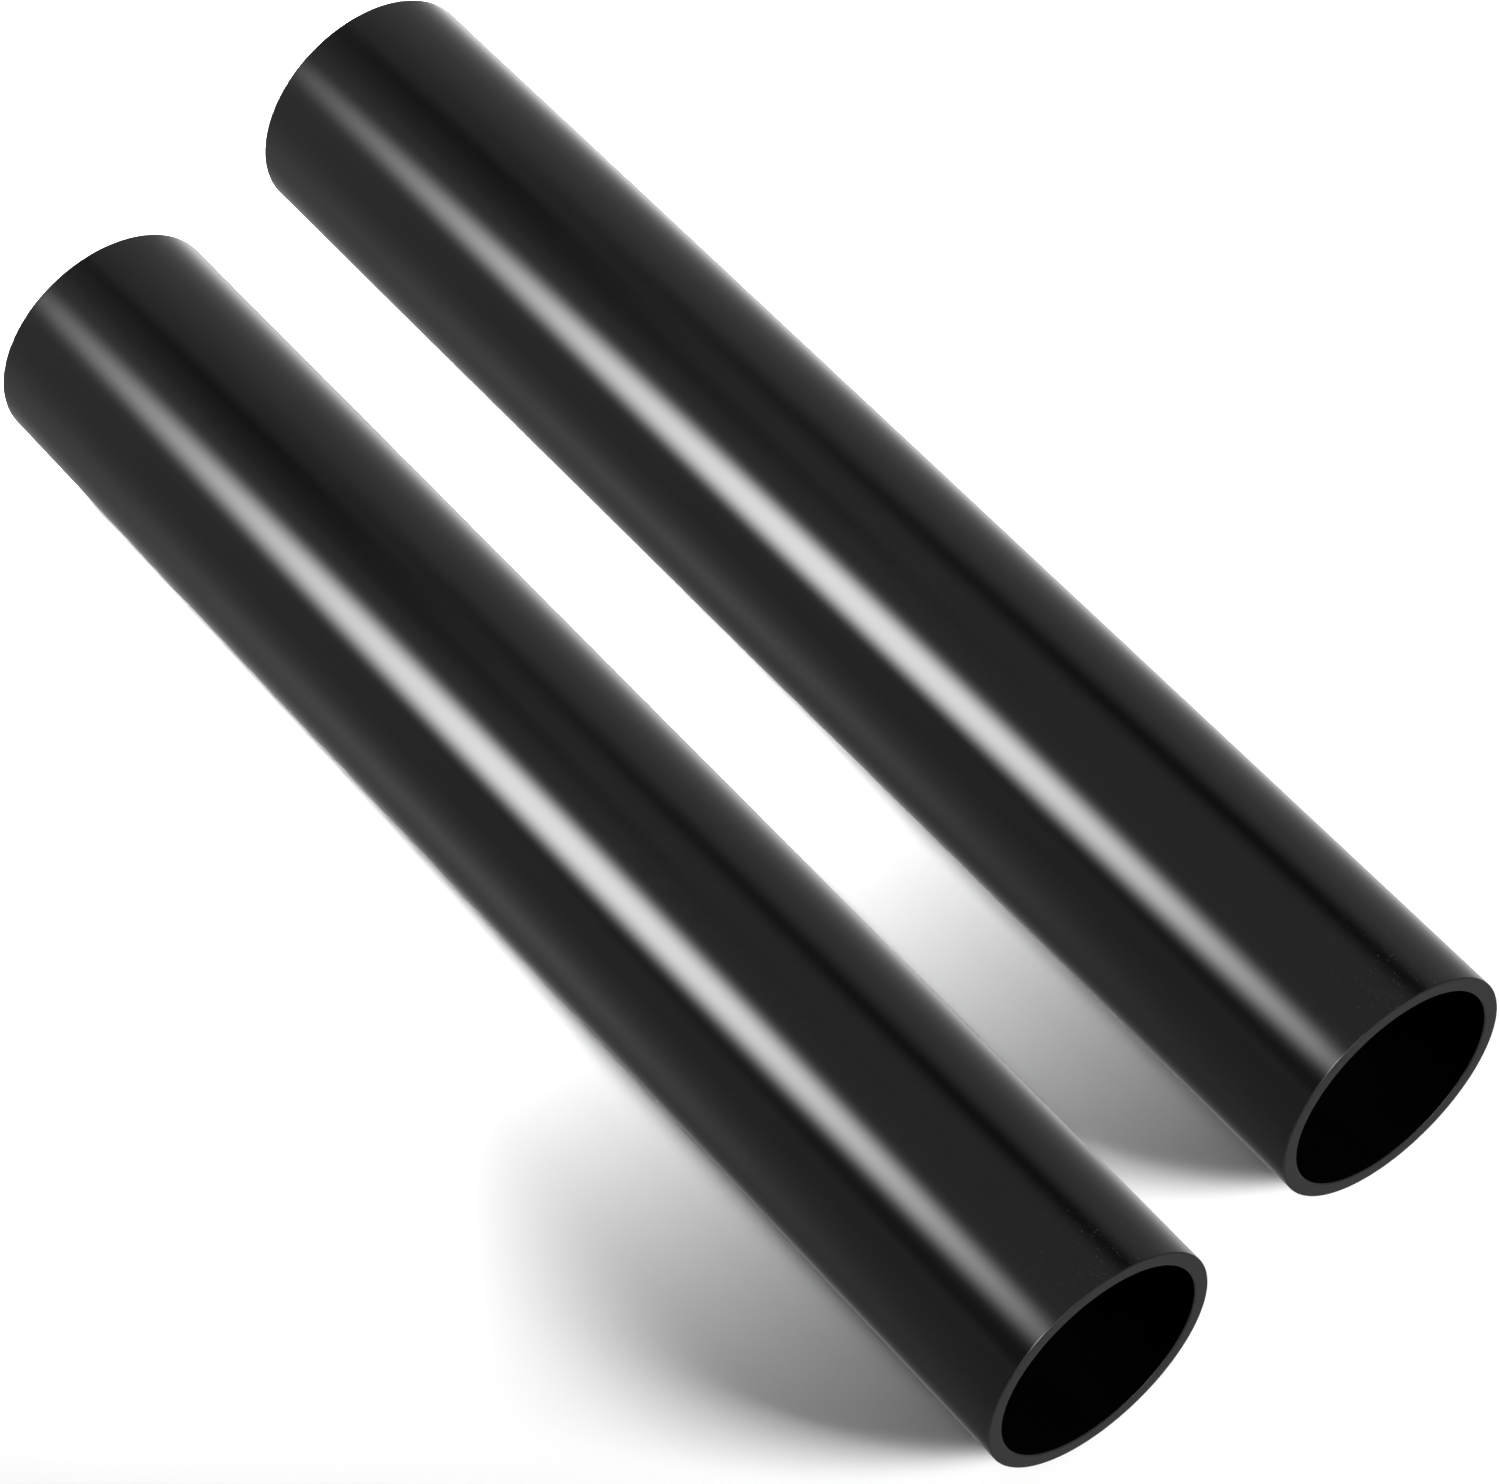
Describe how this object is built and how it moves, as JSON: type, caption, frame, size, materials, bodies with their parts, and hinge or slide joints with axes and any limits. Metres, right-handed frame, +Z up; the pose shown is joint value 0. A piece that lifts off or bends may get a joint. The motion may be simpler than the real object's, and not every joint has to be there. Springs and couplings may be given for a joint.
{
  "type": "focus training sticks",
  "caption": "Straight rigid hollow sticks, open at both ends, that a coach holds out as striking and reaction targets; glossy black plastic, lying side by side.",
  "frame": {"origin": "on the ground, midway between the two sticks' axes and midway along them", "axes": "+X along the sticks, +Y from the front stick to the rear stick, +Z up from the ground they lie on"},
  "size_m": [0.39, 0.1516, 0.063],
  "materials": {
    "stick_plastic": "smooth extruded black, glossy outside and in the bore, with duller saw-cut end faces"
  },
  "bodies": {
    "front_stick": {"front_stick": "stick_plastic"},
    "rear_stick": {"rear_stick": "stick_plastic"}
  },
  "joints": [
    {"name": "rear_stick_apart", "type": "slide", "parent": "front_stick", "child": "rear_stick", "axis": [0, 1, 0], "range_m": [0, 0.2]}
  ]
}
